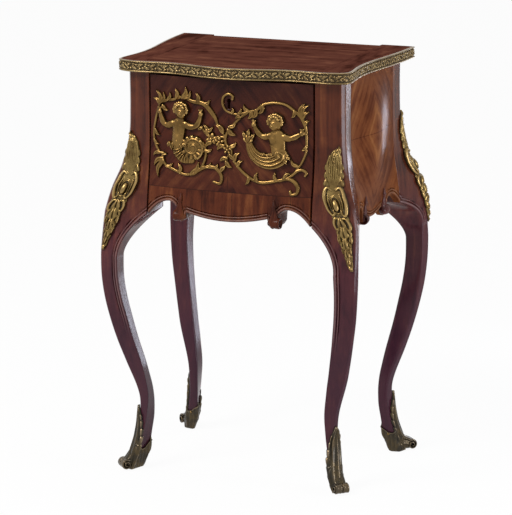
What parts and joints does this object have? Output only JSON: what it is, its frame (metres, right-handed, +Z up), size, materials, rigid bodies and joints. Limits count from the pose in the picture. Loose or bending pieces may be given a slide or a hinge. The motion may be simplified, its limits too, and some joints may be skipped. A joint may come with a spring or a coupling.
{
  "type": "bedside commode",
  "caption": "Serpentine bedside table on cabriole legs, veneered, with a deep locking drawer, gilt rim, knee mounts, sabots and a figured scroll mount.",
  "frame": {"origin": "on the floor, under the middle of the bounding box", "axes": "+Z up, -Y out of the drawer front, +X to the right as seen from the front"},
  "size_m": [0.5252, 0.3668, 0.75],
  "materials": {
    "leg_veneer": "polished veneer, worn on the edges",
    "side_veneer": "polished figured veneer",
    "drawer_veneer": "polished matched veneer",
    "top_veneer": "polished veneer with light scuffs",
    "back_oak": "stained oak, matt",
    "inner_oak": "plain oak, matt",
    "rim_brass": "gilt, dark in the hollows",
    "knee_brass": "gilt, dark in the hollows",
    "drawer_mount_brass": "gilt, dark in the hollows",
    "sabot_brass": "gilt, worn and darkened",
    "pin_brass": "gilt, darkened",
    "lock_steel": "filed iron, dull"
  },
  "bodies": {
    "case": {"front_left_leg": "leg_veneer", "front_left_knee_mount": "knee_brass", "front_left_knee_pin": "pin_brass", "front_left_sabot": "sabot_brass", "front_left_sabot_pin": "pin_brass", "front_right_leg": "leg_veneer", "front_right_knee_mount": "knee_brass", "front_right_knee_pin": "pin_brass", "front_right_sabot": "sabot_brass", "front_right_sabot_pin": "pin_brass", "back_left_leg": "leg_veneer", "back_left_knee_mount": "knee_brass", "back_left_knee_pin": "pin_brass", "back_left_sabot": "sabot_brass", "back_left_sabot_pin": "pin_brass", "back_right_leg": "leg_veneer", "back_right_knee_mount": "knee_brass", "back_right_knee_pin": "pin_brass", "back_right_sabot": "sabot_brass", "back_right_sabot_pin": "pin_brass", "left_side_panel": "side_veneer", "drawer_runner_left": "inner_oak", "drawer_guide_left": "inner_oak", "drawer_kicker_left": "inner_oak", "drawer_stop_left": "inner_oak", "top_left_end_board": "top_veneer", "top_rim_left": "rim_brass", "right_side_panel": "side_veneer", "drawer_runner_right": "inner_oak", "drawer_guide_right": "inner_oak", "drawer_kicker_right": "inner_oak", "drawer_stop_right": "inner_oak", "top_right_end_board": "top_veneer", "top_rim_right": "rim_brass", "top_centre_board": "top_veneer", "top_rim_front": "rim_brass", "back_panel": "back_oak", "bottom_board": "inner_oak", "lock_strike_plate": "lock_steel"},
    "drawer": {"drawer_front": "drawer_veneer", "drawer_side_left": "inner_oak", "drawer_side_right": "inner_oak", "drawer_bottom": "inner_oak", "drawer_back": "inner_oak", "lock_case": "lock_steel", "lock_screw_left": "lock_steel", "lock_screw_right": "lock_steel", "drawer_mount_left": "drawer_mount_brass", "drawer_mount_right": "drawer_mount_brass", "drawer_mount_centre": "drawer_mount_brass"},
    "lock_bolt": {"lock_bolt": "lock_steel"}
  },
  "joints": [
    {"name": "drawer_slide", "type": "slide", "parent": "case", "child": "drawer", "axis": [0, -1, 0], "range_m": [0, 0.17]},
    {"name": "lock_bolt_slide", "type": "slide", "parent": "drawer", "child": "lock_bolt", "axis": [0, 0, 1], "range_m": [0, 0.008]}
  ]
}
